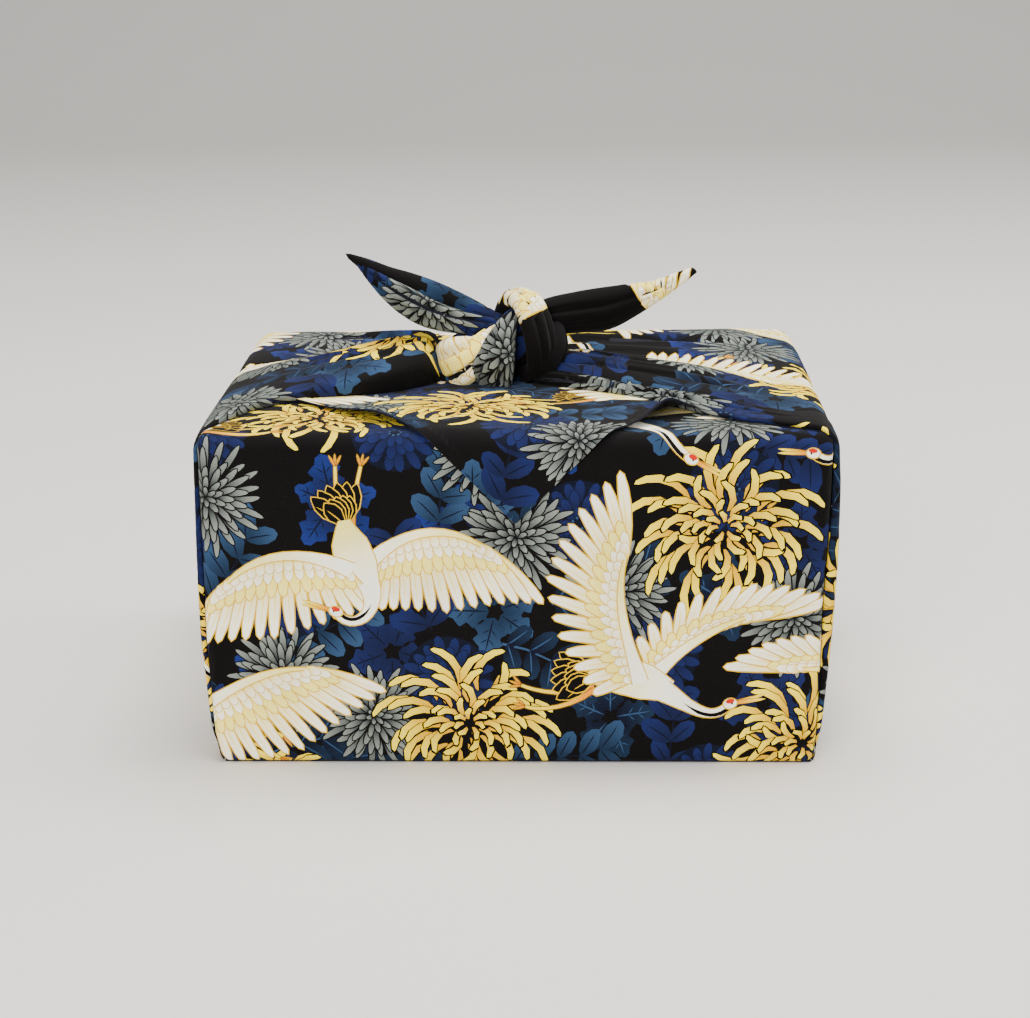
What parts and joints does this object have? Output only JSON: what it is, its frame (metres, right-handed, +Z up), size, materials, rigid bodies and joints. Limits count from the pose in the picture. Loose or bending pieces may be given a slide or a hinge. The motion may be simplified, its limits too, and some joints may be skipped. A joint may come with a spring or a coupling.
{
  "type": "furoshiki wrap",
  "caption": "Square of printed cotton folded round a box shape: two corners crossed over the top, two gathered and tied in a knot with upturned tails",
  "frame": {"origin": "middle of the base, on the surface that the wrap stands on", "axes": "X is the width and the line of the knotted tails, Y runs from the front to the back, Z is up"},
  "size_m": [0.1851, 0.1563, 0.1391],
  "materials": {
    "printed_cotton": "plain-woven cotton, near-black ground printed with cream cranes, gold and grey chrysanthemums and navy flowers"
  },
  "bodies": {
    "root": {"wrap": "printed_cotton"}
  },
  "joints": []
}
